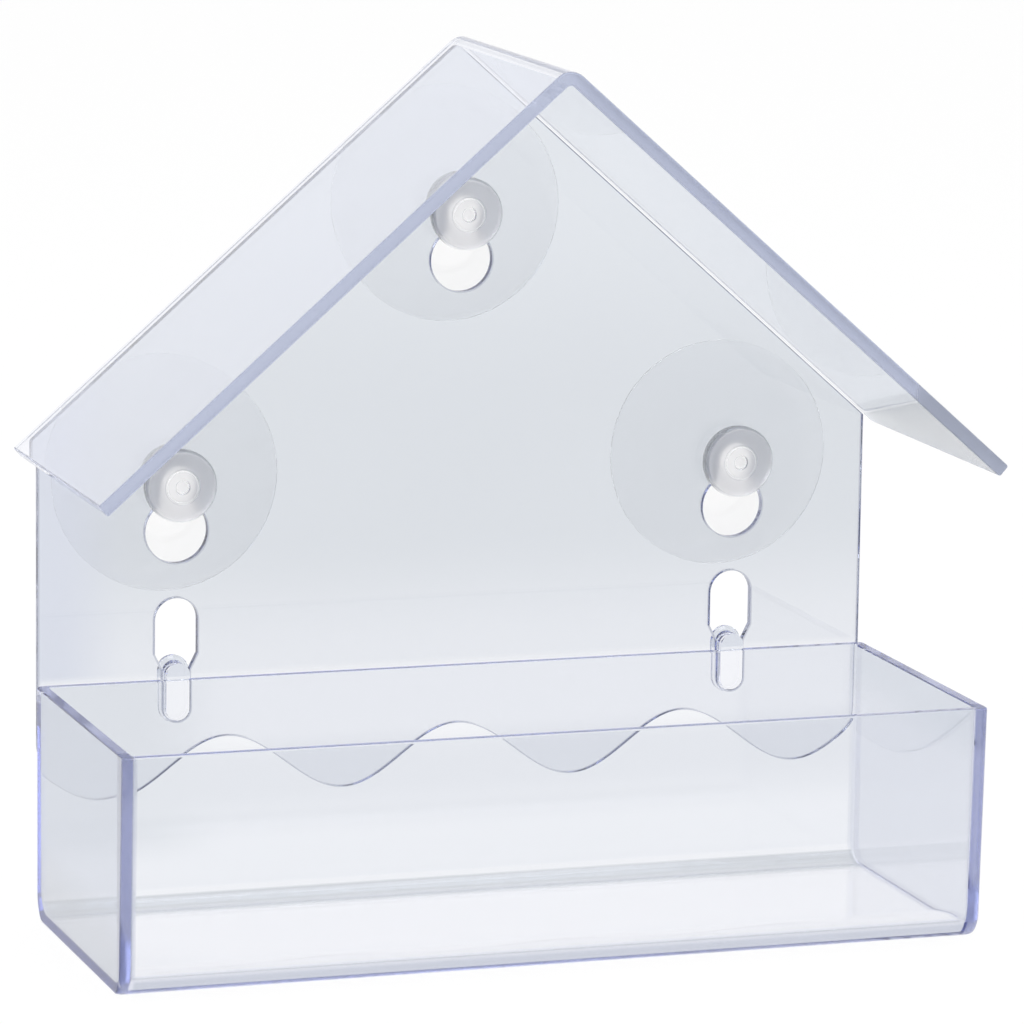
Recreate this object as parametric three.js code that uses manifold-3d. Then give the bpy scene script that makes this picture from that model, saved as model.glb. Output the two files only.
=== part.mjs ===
// A window bird feeder: a clear house-shaped back plate under a folded roof, carried on a pane by
// three suction cups, with an open seed tray hooked into the plate's two slots.
//
// Millimetres. +X runs to the right along the pane, +Y goes into the pane and +Z is up. The origin
// lies on the pane, midway between the axes of the two lower cups.

import * as THREE from 'three';
import * as BufferGeometryUtils from 'three/addons/utils/BufferGeometryUtils.js';
import Module from 'manifold-3d';

const wasm = await Module();
wasm.setup();

// Fit between pieces
const clearance = 0.3;
const overrun = 1;

// Back plate
const plateWidth = 150;
const plateThickness = 1.8;
const plateStandoff = 7.4;
const hemDrop = 49.5;
const hemDepth = 10.1;
const hemPitch = 41.7;
const hemCornerRun = 3.8;

// Roof
const roofThickness = 2.3;
const roofPitchAngle = THREE.MathUtils.degToRad(41.3);
const roofSideOverhang = 3.9;
const roofReach = 56.2;
const ridgeRise = 76.4;
const ridgeInnerRadius = 1;
const eaveEdgeRadius = 0.4;

// Suction cups
const lowerCupInset = 24.4;
const upperCupRise = 45.2;
const cupRimRadius = 20;
const cupRimThickness = 0.7;
const cupHollowDepth = 4.3;
const cupShoulderRadius = 4.6;
const cupNeckRadius = 2.9;
const cupHeadRadius = 6.3;
const cupHeadThickness = 3.4;
const cupHeadEdgeRadius = 1.3;
const cupDimpleRadius = 1.3;
const cupDimpleDepth = 0.5;
const cupFlareBend = 1.2;

// Keyholes for the cups
const keyholeRadius = 5.5;
const keyholeDrop = 8.3;

// Seed tray
const traySideOverhang = 0.5;
const trayHeight = 40.7;
const trayDepth = 58.5;
const trayFrontDraft = 1.5;
const trayWall = 1.8;
const trayFloor = 1.8;
const trayCornerRadius = 2;
const trayInnerCornerRadius = 1;
const trayBendRadius = 3;
const trayEndEdgeRadius = 0.8;

// Tray hooks and the slots that take them
const hookNeckRadius = 2.05;
const hookHeadRadius = 2.8;
const hookHeadThickness = 1.5;
const hookLength = 5.95;
const hookRise = 0.75;
const hookSlotDrop = 39.05;
const hookLift = 9.4;
const hookWindowClearance = 0.95;

// Steps of the round shapes
const arcSteps = 10;
const bendSteps = 3;
const footSteps = 4;
const hemSteps = 56;
const profileSteps = 4;
const latheSteps = 40;

// Places that follow from the sizes above
const plateBack = -plateStandoff;
const plateFront = plateBack - plateThickness;
const plateHalf = plateWidth / 2;
const cupSide = plateHalf - lowerCupInset;
const slotWidthRadius = hookNeckRadius + clearance;
const windowRadius = hookHeadRadius + hookWindowClearance;
const slotLowZ = -hookSlotDrop;
const slotHighZ = slotLowZ + hookLength;
const rimZ = slotHighZ - hookRise;
const trayBack = plateFront - clearance;
const trayWidth = plateWidth + 2 * traySideOverhang;

// A closed geometry as a solid, with its shared vertices merged.
function solidOf(geometry) {
  const bare = geometry.clone();
  bare.deleteAttribute('normal');
  bare.deleteAttribute('uv');
  const merged = BufferGeometryUtils.mergeVertices(bare);
  return new wasm.Manifold(new wasm.Mesh({
    numProp: 3,
    vertProperties: new Float32Array(merged.attributes.position.array),
    triVerts: new Uint32Array(merged.index.array),
  }));
}

// A solid as a geometry again.
function geometryOf(solid) {
  const mesh = solid.getMesh();
  const geometry = new THREE.BufferGeometry();
  geometry.setAttribute('position', new THREE.BufferAttribute(mesh.vertProperties, 3));
  geometry.setIndex(new THREE.BufferAttribute(mesh.triVerts, 1));
  geometry.computeVertexNormals();
  return geometry;
}

// A shape drawn on X and Z, filled from yFront to yBack.
function slabAlongY(shape, yFront, yBack, steps) {
  const geometry = new THREE.ExtrudeGeometry(shape, {
    depth: yBack - yFront,
    bevelEnabled: false,
    curveSegments: steps,
  });
  geometry.rotateX(Math.PI / 2);
  geometry.translate(0, yBack, 0);
  return geometry;
}

// A closed outline through corners given as point and radius, each rounded with a tangent arc.
function roundedOutline(corners) {
  const shape = new THREE.Shape();
  corners.forEach(({ at, radius }, index) => {
    const before = corners.at(index - 1).at;
    const after = corners[(index + 1) % corners.length].at;
    if (radius === 0) {
      if (index === 0) shape.moveTo(at.x, at.y);
      else shape.lineTo(at.x, at.y);
      return;
    }
    const toBefore = before.clone().sub(at).normalize();
    const toAfter = after.clone().sub(at).normalize();
    const halfAngle = toBefore.angleTo(toAfter) / 2;
    const middle = toBefore.clone().add(toAfter).normalize();
    const centre = at.clone().addScaledVector(middle, radius / Math.sin(halfAngle));
    const tangent = radius / Math.tan(halfAngle);
    const start = at.clone().addScaledVector(toBefore, tangent).sub(centre);
    const end = at.clone().addScaledVector(toAfter, tangent).sub(centre);
    const clockwise = toBefore.cross(toAfter) > 0;
    shape.absarc(centre.x, centre.y, radius, start.angle(), end.angle(), clockwise);
  });
  return shape;
}

// One corner of an outline.
function corner(x, y, radius) {
  return { at: new THREE.Vector2(x, y), radius };
}

// An upright stadium around the stretch from lowZ to highZ.
function stadium(x, lowZ, highZ, radius) {
  const shape = new THREE.Shape();
  shape.absarc(x, highZ, radius, 0, Math.PI, false);
  shape.absarc(x, lowZ, radius, Math.PI, 2 * Math.PI, false);
  return shape;
}

// The height of the roof's gable at a distance from the middle, so far below the outer face.
function gableZ(x, depth) {
  return ridgeRise - depth / Math.cos(roofPitchAngle) - Math.abs(x) * Math.tan(roofPitchAngle);
}

// The height of the plate's waved lower edge.
function hemZ(x) {
  return -hemDrop + (hemDepth / 2) * Math.cos((2 * Math.PI * x) / hemPitch);
}

// The big hole that a cup's head goes in by, and the slot above it that its neck sits in.
function keyhole(cupX, cupZ) {
  const slotRadius = cupNeckRadius + clearance;
  const mouthRise = Math.sqrt(keyholeRadius ** 2 - slotRadius ** 2);
  const mouthAngle = Math.atan2(mouthRise, slotRadius);
  const hole = new THREE.Shape();
  hole.absarc(cupX, cupZ, slotRadius, 0, Math.PI, false);
  hole.absarc(cupX, cupZ - keyholeDrop, keyholeRadius, Math.PI - mouthAngle, mouthAngle, false);
  hole.closePath();
  return hole;
}

// The window that a hook's head goes in by, and the slot below it that its neck rests in.
function hookSlot(slotX) {
  const windowLowZ = slotLowZ + hookLift;
  const taperLowZ = windowLowZ - hookHeadRadius;
  const hole = new THREE.Shape();
  hole.absarc(slotX, slotHighZ + hookLift, windowRadius, 0, Math.PI, false);
  hole.lineTo(slotX - windowRadius, windowLowZ);
  hole.lineTo(slotX - slotWidthRadius, taperLowZ);
  hole.absarc(slotX, slotLowZ, slotWidthRadius, Math.PI, 2 * Math.PI, false);
  hole.lineTo(slotX + slotWidthRadius, taperLowZ);
  hole.lineTo(slotX + windowRadius, windowLowZ);
  hole.closePath();
  return hole;
}

// The plate's outline: two roof slopes, straight sides and the waved hem between soft corners.
function plateOutline() {
  const shape = new THREE.Shape();
  const gap = roofThickness + clearance;
  const ridgeZ = gableZ(0, gap + ridgeInnerRadius);
  const tilt = roofPitchAngle;
  const cornerX = plateHalf - hemCornerRun;
  shape.moveTo(plateHalf, hemZ(plateHalf) + hemCornerRun);
  shape.lineTo(plateHalf, gableZ(plateHalf, gap));
  shape.absarc(0, ridgeZ, ridgeInnerRadius, Math.PI / 2 - tilt, Math.PI / 2 + tilt, false);
  shape.lineTo(-plateHalf, gableZ(plateHalf, gap));
  shape.lineTo(-plateHalf, hemZ(plateHalf) + hemCornerRun);
  shape.quadraticCurveTo(-plateHalf, hemZ(plateHalf), -cornerX, hemZ(cornerX));
  for (let step = 1; step <= hemSteps; step += 1) {
    const x = THREE.MathUtils.lerp(-cornerX, cornerX, step / hemSteps);
    shape.lineTo(x, hemZ(x));
  }
  shape.quadraticCurveTo(plateHalf, hemZ(plateHalf), plateHalf, hemZ(plateHalf) + hemCornerRun);
  return shape;
}

function backPlateGeometry() {
  const holes = [
    keyhole(0, upperCupRise),
    ...[-cupSide, cupSide].flatMap((x) => [keyhole(x, 0), hookSlot(x)]),
  ];
  let plate = solidOf(slabAlongY(plateOutline(), plateFront, plateBack, bendSteps));
  for (const hole of holes) {
    const cutter = slabAlongY(hole, plateFront - overrun, plateBack + overrun, arcSteps);
    plate = plate.subtract(solidOf(cutter));
  }
  return geometryOf(plate);
}

// One sheet folded at the ridge, its eaves cut square to the slopes.
function roofGeometry() {
  const outerX = plateHalf + roofSideOverhang;
  const outerZ = gableZ(outerX, 0);
  const innerX = outerX - roofThickness * Math.sin(roofPitchAngle);
  const innerZ = outerZ - roofThickness * Math.cos(roofPitchAngle);
  const outline = roundedOutline([
    corner(innerX, innerZ, eaveEdgeRadius),
    corner(outerX, outerZ, eaveEdgeRadius),
    corner(0, gableZ(0, 0), ridgeInnerRadius + roofThickness),
    corner(-outerX, outerZ, eaveEdgeRadius),
    corner(-innerX, innerZ, eaveEdgeRadius),
    corner(0, gableZ(0, roofThickness), ridgeInnerRadius),
  ]);
  return slabAlongY(outline, plateFront - roofReach, plateBack, bendSteps);
}

// How far a rounded lower edge draws in at a rise above its foot.
function drawnIn(radius, rise) {
  const left = Math.max(radius - rise, 0);
  return radius - Math.sqrt(radius ** 2 - left ** 2);
}

// The rises at the steps of a rounded lower edge.
function edgeRises(radius) {
  const turns = Array.from({ length: footSteps + 1 }, (_, step) => step / footSteps);
  return turns.map((turn) => radius * (1 - Math.cos((Math.PI / 2) * turn)));
}

// A level outline of the tray at a height, so far inside the outer faces of its ends and walls.
function trayOutline(z, endInset, wallInset, radius) {
  const side = trayWidth / 2 - endInset;
  const backY = trayBack - wallInset;
  const lean = (trayFrontDraft / trayHeight) * (rimZ - z);
  const frontY = trayBack - trayDepth + lean + wallInset;
  return roundedOutline([
    corner(side, backY, radius),
    corner(-side, backY, radius),
    corner(-side, frontY, radius),
    corner(side, frontY, radius),
  ]);
}

// A solid block of the tray's form: upright corners rounded, the front and back bent round into
// the bottom, and the ends meeting it in an edge of their own.
function trayBlock(inset, lowZ, topZ, radii) {
  const points = [];
  for (const rise of [...edgeRises(radii.bend), ...edgeRises(radii.endEdge), topZ - lowZ]) {
    const endInset = inset + drawnIn(radii.endEdge, rise);
    const wallInset = inset + drawnIn(radii.bend, rise);
    const outline = trayOutline(lowZ + rise, endInset, wallInset, radii.corner);
    outline.getPoints(bendSteps).forEach(({ x, y }) => points.push([x, y, lowZ + rise]));
  }
  return wasm.Manifold.hull(points);
}

// The open box, with a necked hook standing on its back wall at each slot of the plate.
function trayGeometry() {
  const lowZ = rimZ - trayHeight;
  const shell = trayBlock(0, lowZ, rimZ, {
    corner: trayCornerRadius,
    bend: trayBendRadius + trayWall,
    endEdge: trayEndEdgeRadius,
  });
  const hollow = trayBlock(trayWall, lowZ + trayFloor, rimZ + overrun, {
    corner: trayInnerCornerRadius,
    bend: trayBendRadius,
    endEdge: 0,
  });
  let tray = shell.subtract(hollow);
  const headFront = plateBack + clearance;
  const headBack = headFront + hookHeadThickness;
  for (const side of [-1, 1]) {
    const neck = stadium(side * cupSide, slotLowZ, slotHighZ, hookNeckRadius);
    const head = stadium(side * cupSide, slotLowZ, slotHighZ, hookHeadRadius);
    const neckSlab = slabAlongY(neck, trayBack - trayWall, headBack, arcSteps);
    const headSlab = slabAlongY(head, headFront, headBack, arcSteps);
    tray = tray.add(solidOf(neckSlab)).add(solidOf(headSlab));
  }
  return geometryOf(tray);
}

// A soft cup turned about its own axis: a hollow disc on the pane, a neck through the plate and a
// mushroom head with a small dimple in front of it.
function cupGeometry() {
  const shoulderY = plateBack + clearance;
  const headBack = plateFront - clearance;
  const headFront = headBack - cupHeadThickness;
  const headFlat = cupHeadRadius - cupHeadEdgeRadius;
  const lipInner = cupRimRadius - cupRimThickness;
  const flareRadius = (cupRimRadius + cupShoulderRadius) / 2;
  const flareY = (shoulderY - cupRimThickness) / 2 - cupFlareBend;
  const profile = new THREE.Path();
  profile.moveTo(0, headFront + cupDimpleDepth);
  profile.quadraticCurveTo(cupDimpleRadius / 2, headFront + cupDimpleDepth, cupDimpleRadius, headFront);
  profile.lineTo(headFlat, headFront);
  profile.quadraticCurveTo(cupHeadRadius, headFront, cupHeadRadius, headFront + cupHeadEdgeRadius);
  profile.lineTo(cupHeadRadius, headBack - cupHeadEdgeRadius);
  profile.quadraticCurveTo(cupHeadRadius, headBack, headFlat, headBack);
  profile.lineTo(cupNeckRadius, headBack);
  profile.lineTo(cupNeckRadius, shoulderY);
  profile.lineTo(cupShoulderRadius, shoulderY);
  profile.quadraticCurveTo(flareRadius, flareY, cupRimRadius, -cupRimThickness);
  profile.lineTo(cupRimRadius, 0);
  profile.lineTo(lipInner, 0);
  profile.quadraticCurveTo(lipInner / 2, -cupHollowDepth, 0, -cupHollowDepth);
  return new THREE.LatheGeometry(profile.getPoints(profileSteps), latheSteps);
}

// Clear rigid sheet and clear soft moulding
const clearSheet = {
  color: 0xdfe5ec,
  roughness: 0.05,
  metalness: 0,
  transparent: true,
  opacity: 0.4,
};
const clearSoft = {
  color: 0xdde0e6,
  roughness: 0.2,
  metalness: 0,
  transparent: true,
  opacity: 0.55,
};

function piece(name, geometry, look) {
  const mesh = new THREE.Mesh(geometry, new THREE.MeshStandardMaterial(look));
  mesh.name = name;
  return mesh;
}

const house = new THREE.Group();
house.add(piece('back_plate', backPlateGeometry(), clearSheet));
house.add(piece('roof', roofGeometry(), clearSheet));

const cups = new THREE.Group();
const cupPlaces = [
  ['suction_cup_top', 0, upperCupRise],
  ['suction_cup_left', -cupSide, 0],
  ['suction_cup_right', cupSide, 0],
];
for (const [name, x, z] of cupPlaces) {
  const cup = piece(name, cupGeometry(), clearSoft);
  cup.position.set(x, 0, z);
  cups.add(cup);
}

const feeder = new THREE.Group();
feeder.add(house, piece('tray', trayGeometry(), clearSheet), cups);

export default feeder;
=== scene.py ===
"""Looks of a clear window bird feeder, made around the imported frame.

Metres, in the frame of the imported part: +X runs to the right along the pane, +Y goes into the
pane and +Z is up. The origin lies on the pane, midway between the axes of the two lower cups.
"""

import logging
import math
from dataclasses import dataclass
from enum import Enum
from typing import Any

import bmesh
import bpy
from mathutils import Matrix, Vector


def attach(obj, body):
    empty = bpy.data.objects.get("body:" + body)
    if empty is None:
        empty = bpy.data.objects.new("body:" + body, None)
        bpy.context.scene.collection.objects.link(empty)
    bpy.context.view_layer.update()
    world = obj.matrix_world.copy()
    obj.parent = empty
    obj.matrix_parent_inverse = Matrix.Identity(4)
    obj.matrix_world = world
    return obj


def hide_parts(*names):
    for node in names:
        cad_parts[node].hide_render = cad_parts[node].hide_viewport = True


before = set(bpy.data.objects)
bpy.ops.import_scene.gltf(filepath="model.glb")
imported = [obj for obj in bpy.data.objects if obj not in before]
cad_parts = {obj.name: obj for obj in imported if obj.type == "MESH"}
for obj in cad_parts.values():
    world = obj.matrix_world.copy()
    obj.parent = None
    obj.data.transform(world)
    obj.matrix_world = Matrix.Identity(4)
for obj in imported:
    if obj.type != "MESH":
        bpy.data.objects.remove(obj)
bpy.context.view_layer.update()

LOG = logging.getLogger("window_feeder")

Flat = tuple[float, float]
Place = tuple[float, float, float]
Colour = tuple[float, float, float]
Corner = tuple[float, float, float]
Inputs = dict[str | int, Any]

# Driving sizes that several sub-assemblies share

CLEARANCE = 0.0003
TOP_CUP = 0.0452
SIDE_CUP = 0.0506
ROOF_ANGLE = math.radians(41.3)
ROOF_THICKNESS = 0.0023
RIDGE_RISE = 0.0764
RIDGE_RADIUS = 0.001
SHEET_THICKNESS = 0.0018
SHEET_BACK = -0.0074
SHEET_FRONT = SHEET_BACK - SHEET_THICKNESS
HOOK_DROP = 0.03905
HOOK_LENGTH = 0.00595
HOOK_HEAD_RADIUS = 0.0028

# How meshes are cleaned and shaded, and how high the ripple of their faces is

WELD = 1e-6
FINE_WELD = 1e-7
POLE_WELD = 2e-6
SHARP_ANGLE = math.radians(35)
EDGE_SEGMENTS = 3
FLAT_WEIGHT = 100
RIPPLE_HEIGHT = 0.0004


class Body(Enum):
    """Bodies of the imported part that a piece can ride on."""

    TOP_CUP = "top_cup"
    LEFT_CUP = "left_cup"
    RIGHT_CUP = "right_cup"
    HOUSE = "house"
    TRAY = "tray"


class Slot(Enum):
    """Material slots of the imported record."""

    CLEAR_SHEET = "clear_sheet"
    CLEAR_SOFT = "clear_soft"


class Node(Enum):
    """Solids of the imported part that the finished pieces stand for."""

    BACK_PLATE = "back_plate"
    ROOF = "roof"
    TRAY = "tray"
    CUP_TOP = "suction_cup_top"
    CUP_LEFT = "suction_cup_left"
    CUP_RIGHT = "suction_cup_right"


# Plain outlines


def arc(centre: Flat, radius: float, start: float, end: float, steps: int) -> list[Flat]:
    """Points on an arc, both ends included.

    Args:
        centre: the arc's centre.
        radius: its radius.
        start: the angle of its first point, in radians.
        end: the angle of its last point.
        steps: how many chords it has.

    Returns:
        The points in order.
    """
    angles = [start + (end - start) * step / steps for step in range(steps + 1)]
    return [(centre[0] + radius * math.cos(a), centre[1] + radius * math.sin(a)) for a in angles]


def bend(first: Flat, control: Flat, last: Flat, steps: int) -> list[Flat]:
    """Points on a quadratic bend after its first point.

    Args:
        first: where the bend starts, which is left out.
        control: the point that it bends towards.
        last: where it ends.
        steps: how many chords it has.

    Returns:
        The points in order, without the first.
    """
    points = []
    for step in range(1, steps + 1):
        t = step / steps
        a, b, c = (1 - t) ** 2, 2 * t * (1 - t), t**2
        points.append(tuple(a * p + b * q + c * r for p, q, r in zip(first, control, last)))
    return points


def softened(corners: list[Corner], steps: int) -> list[Flat]:
    """A closed outline with each corner rounded by a tangent arc.

    Args:
        corners: the corners in order, each as two coordinates and a radius.
        steps: how many chords each arc has.

    Returns:
        The outline's points in order.
    """
    outline: list[Flat] = []
    for index, (x, y, radius) in enumerate(corners):
        at = Vector((x, y))
        before = (Vector(corners[index - 1][:2]) - at).normalized()
        after = (Vector(corners[(index + 1) % len(corners)][:2]) - at).normalized()
        half = before.angle(after) / 2
        centre = at + (before + after).normalized() * (radius / math.sin(half))
        reach = radius / math.tan(half)
        start = at + before * reach - centre
        end = at + after * reach - centre
        first = math.atan2(start.y, start.x)
        turn = (math.atan2(end.y, end.x) - first + math.pi) % (2 * math.pi) - math.pi
        outline += arc(tuple(centre), radius, first, first + turn, steps)
    return outline


def stadium(x: float, low: float, high: float, radius: float, steps: int) -> list[Flat]:
    """An upright outline with two round ends.

    Args:
        x: the middle line.
        low: the height of the lower centre.
        high: the height of the upper centre.
        radius: the radius of the ends.
        steps: how many chords each end has.

    Returns:
        The outline's points in order.
    """
    top = arc((x, high), radius, 0, math.pi, steps)
    return top + arc((x, low), radius, math.pi, 2 * math.pi, steps)


def quarter(steps: int) -> list[float]:
    """The angles of a quarter turn from 0, both ends included."""
    return [math.pi / 2 * step / steps for step in range(steps + 1)]


def drawn_in(radius: float, rise: float) -> float:
    """How far a rounded lower edge draws in at a rise above its foot."""
    left = max(radius - rise, 0.0)
    return radius - math.sqrt(radius**2 - left**2)


def rises(steps: int, *radii: float) -> list[float]:
    """The rises at the steps of rounded lower edges, from 0 up."""
    return sorted({radius * (1 - math.cos(turn)) for radius in radii for turn in quarter(steps)})


# Meshes


def linked(name: str, data: Any) -> bpy.types.Object:
    """A new object, linked to the scene.

    Args:
        name: its name.
        data: the mesh, lamp or camera that it holds.

    Returns:
        The object.
    """
    made = bpy.data.objects.new(name, data)
    bpy.context.scene.collection.objects.link(made)
    return made


def mesh_object(
    name: str,
    points: list[Place],
    edges: list[tuple[int, int]],
    faces: list[tuple[int, ...]],
) -> bpy.types.Object:
    """A mesh object of points, edges and faces.

    Args:
        name: the object's name.
        points: its vertices.
        edges: its loose edges, as vertex numbers.
        faces: its faces, as vertex numbers.

    Returns:
        The object.
    """
    mesh = bpy.data.meshes.new(name)
    mesh.from_pydata(points, edges, faces)
    return linked(name, mesh)


def wire_object(name: str, loops: list[list[Flat]], closed: bool) -> bpy.types.Object:
    """A mesh object of loops of edges, drawn on X and Y.

    Args:
        name: the object's name.
        loops: the loops, each as points in order.
        closed: whether each loop's last point joins its first.

    Returns:
        The object.
    """
    points: list[Place] = []
    edges: list[tuple[int, int]] = []
    for loop in loops:
        base = len(points)
        points += [(x, y, 0.0) for x, y in loop]
        last = len(loop) if closed else len(loop) - 1
        edges += [(base + i, base + (i + 1) % len(loop)) for i in range(last)]
    return mesh_object(name, points, edges, [])


def face_outwards(mesh: bpy.types.Mesh, weld: float) -> None:
    """Joins doubled vertices and turns every face outwards.

    Args:
        mesh: the closed mesh.
        weld: how near two vertices are joined.
    """
    work = bmesh.new()
    work.from_mesh(mesh)
    bmesh.ops.remove_doubles(work, verts=work.verts, dist=weld)
    bmesh.ops.recalc_face_normals(work, faces=work.faces)
    work.to_mesh(mesh)
    work.free()


def skinned(name: str, rings: list[list[Place]]) -> bpy.types.Object:
    """A closed solid over rings of equal length, with a face on each end.

    Args:
        name: the object's name.
        rings: the rings in order along the solid.

    Returns:
        The object, its faces outwards.
    """
    count = len(rings[0])
    points = [point for ring in rings for point in ring]
    faces: list[tuple[int, ...]] = [tuple(range(count))]
    for level in range(len(rings) - 1):
        low, high = level * count, (level + 1) * count
        for i in range(count):
            j = (i + 1) % count
            faces.append((low + i, low + j, high + j, high + i))
    faces.append(tuple(range(len(points) - count, len(points))))
    made = mesh_object(name, points, [], faces)
    face_outwards(made.data, FINE_WELD)
    return made


def applied(source: bpy.types.Object) -> bpy.types.Object:
    """A plain mesh object with the source's modifiers worked into it, in place of the source.

    Args:
        source: the object with live modifiers, which is removed.

    Returns:
        The new object, with no modifier and the same name.
    """
    name = source.name
    graph = bpy.context.evaluated_depsgraph_get()
    graph.update()
    mesh = bpy.data.meshes.new_from_object(source.evaluated_get(graph))
    bpy.data.objects.remove(source)
    mesh.name = name
    return linked(name, mesh)


def shade_smooth(mesh: bpy.types.Mesh) -> None:
    """Shades every face smooth."""
    mesh.polygons.foreach_set("use_smooth", [True] * len(mesh.polygons))


def finished(piece: bpy.types.Object, edge_radius: float = 0.0) -> bpy.types.Object:
    """The piece shaded smooth with its flat faces kept flat, and its modifiers worked in.

    Args:
        piece: the piece, whose faces already point outwards.
        edge_radius: what its sharp edges are rounded to, or 0 where they stay sharp.

    Returns:
        The finished piece.
    """
    shade_smooth(piece.data)
    if edge_radius > 0:
        rounding = piece.modifiers.new("Rounding", "BEVEL")
        rounding.width = edge_radius
        rounding.segments = EDGE_SEGMENTS
        rounding.limit_method = "ANGLE"
        rounding.angle_limit = SHARP_ANGLE
        rounding.miter_outer = "MITER_SHARP"
        rounding.use_clamp_overlap = True
    else:
        piece.data.set_sharp_from_angle(angle=SHARP_ANGLE)
    flat = piece.modifiers.new("Flat faces", "WEIGHTED_NORMAL")
    flat.mode = "FACE_AREA"
    flat.weight = FLAT_WEIGHT
    flat.keep_sharp = edge_radius == 0
    return applied(piece)


# Node trees


class Socket(Enum):
    """Kinds of input and output that a node group has."""

    GEOMETRY = "NodeSocketGeometry"
    NUMBER = "NodeSocketFloat"
    COUNT = "NodeSocketInt"
    VECTOR = "NodeSocketVector"
    COLOUR = "NodeSocketColor"
    MATERIAL = "NodeSocketMaterial"


class NodeBench:
    """A node tree with short ways to add and feed nodes."""

    def __init__(self, tree: bpy.types.NodeTree) -> None:
        """Takes the tree to work on."""
        self.tree = tree

    def feed(self, socket: bpy.types.NodeSocket, value: Any) -> None:
        """Links an output to an input, or gives the input a plain value.

        Args:
            socket: the input.
            value: the output or the plain value.
        """
        if isinstance(value, bpy.types.NodeSocket):
            self.tree.links.new(value, socket)
        else:
            socket.default_value = value

    def add(self, kind: str, inputs: Inputs | None = None, **settings: Any) -> bpy.types.Node:
        """A new node.

        Args:
            kind: the node's type name.
            inputs: outputs to link, or plain values, by the input's name or number.
            settings: its properties, by name.

        Returns:
            The node.
        """
        node = self.tree.nodes.new(kind)
        for name, value in settings.items():
            setattr(node, name, value)
        for name, value in (inputs or {}).items():
            self.feed(node.inputs[name], value)
        return node

    def out(self, kind: str, inputs: Inputs | None = None, **settings: Any) -> Any:
        """The first output of a new node, which is made as add makes it."""
        return self.add(kind, inputs, **settings).outputs[0]

    def maths(self, operation: str, *values: Any) -> Any:
        """The output of a Math node over outputs or numbers."""
        return self.out("ShaderNodeMath", dict(enumerate(values)), operation=operation)

    def split(self, vector: bpy.types.NodeSocket, label: str = "") -> Any:
        """The X, Y and Z of a vector, by name."""
        return self.add("ShaderNodeSeparateXYZ", {0: vector}, label=label).outputs

    def combined(self, **parts: Any) -> Any:
        """A vector of the named parts, with 0 for a part that isn't named."""
        return self.out("ShaderNodeCombineXYZ", parts)

    def mixed(self, share: Any, first: Any, second: Any) -> Any:
        """The first colour giving way to the second, as far as the share says."""
        colours = {"Factor": share, 6: first, 7: second}
        return self.add("ShaderNodeMix", colours, data_type="RGBA").outputs[2]

    def dressed(self, geometry: bpy.types.NodeSocket, finish: bpy.types.NodeSocket) -> Any:
        """The geometry with its instances made real and its material set."""
        plain = self.out("GeometryNodeRealizeInstances", {"Geometry": geometry})
        return self.out("GeometryNodeSetMaterial", {"Geometry": plain, "Material": finish})


def node_group(
    kind: str, name: str, inputs: dict[str, tuple[Any, ...]], output: tuple[str, Socket]
) -> tuple[NodeBench, Any, bpy.types.NodeSocket]:
    """An empty node group with named inputs and one output.

    Args:
        kind: the tree's type name.
        name: the group's name.
        inputs: kind of socket, and a value where it has one, by input name.
        output: the output's name and kind of socket.

    Returns:
        The bench, the group's inputs by name and the socket that takes its result.
    """
    tree = bpy.data.node_groups.new(name, kind)
    for label, (socket, *value) in inputs.items():
        made = tree.interface.new_socket(label, in_out="INPUT", socket_type=socket.value)
        if value:
            made.default_value = value[0]
    tree.interface.new_socket(output[0], in_out="OUTPUT", socket_type=output[1].value)
    bench = NodeBench(tree)
    return bench, bench.add("NodeGroupInput").outputs, bench.add("NodeGroupOutput").inputs[0]


def grown(
    piece: bpy.types.Object, tree: bpy.types.NodeTree, values: dict[str, Any]
) -> bpy.types.Object:
    """The plain mesh that a Geometry Nodes tree makes of a piece.

    Args:
        piece: the piece whose geometry goes in, which is removed.
        tree: the tree.
        values: the modifier's values by input name.

    Returns:
        The new object, its faces outwards.
    """
    modifier = piece.modifiers.new(tree.name, "NODES")
    modifier.node_group = tree
    for item in tree.interface.items_tree:
        if item.item_type == "SOCKET" and item.in_out == "INPUT" and item.name in values:
            modifier[item.identifier] = values[item.name]
    made = applied(piece)
    face_outwards(made.data, WELD)
    return made


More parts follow.
